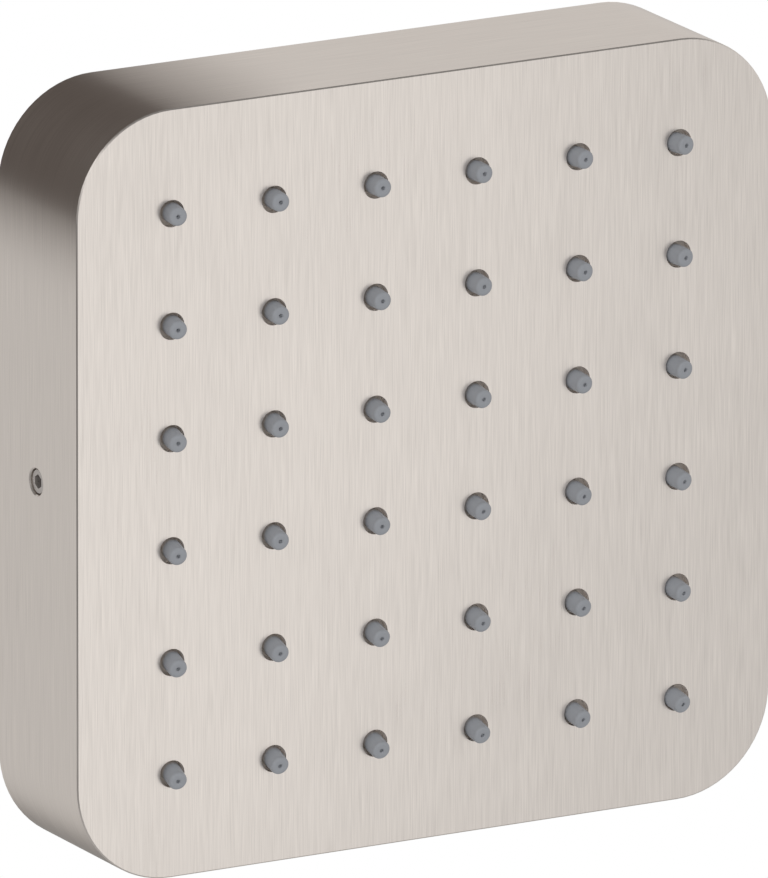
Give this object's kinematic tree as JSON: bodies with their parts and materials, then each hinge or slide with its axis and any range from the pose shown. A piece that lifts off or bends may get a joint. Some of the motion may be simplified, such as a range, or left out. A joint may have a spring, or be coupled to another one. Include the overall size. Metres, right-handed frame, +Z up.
{
  "type": "shower body jet",
  "caption": "Square wall-mounted shower body jet in brushed metal: a grid of soft fanned nozzles in a rounded shell, with a side lock screw and a concealed wall bracket and water inlet.",
  "frame": {"origin": "centre of the rear plane that rests on the wall, on the axis of the inlet", "axes": "+Y into the wall along the inlet thread, the spray face looks towards -Y, +Z up, +X to the right of a person who faces the spray face"},
  "size_m": [0.12, 0.0395, 0.12],
  "materials": {
    "brushed_nickel": "brushed",
    "silicone": "matte",
    "moulded_plastic": "moulded",
    "seal_rubber": "matte",
    "stainless": "mill",
    "brass": "turned",
    "bright_steel": "bright"
  },
  "bodies": {
    "module": {"housing": "brushed_nickel", "nozzle_mat": "silicone", "distributor": "moulded_plastic", "chamber_gasket": "seal_rubber", "chamber_cover": "moulded_plastic", "cover_screws": "stainless", "flow_regulator": "moulded_plastic", "regulator_ring": "seal_rubber", "inlet_strainer": "moulded_plastic", "inlet_nipple": "brass", "inlet_seal": "seal_rubber", "wall_bracket": "stainless", "wall_seal": "seal_rubber"},
    "lock_screw": {"grub_screw": "bright_steel"}
  },
  "joints": [
    {"name": "lock_screw_out", "type": "slide", "parent": "module", "child": "lock_screw", "axis": [-1, 0, 0], "range_m": [0, 0.002]}
  ]
}
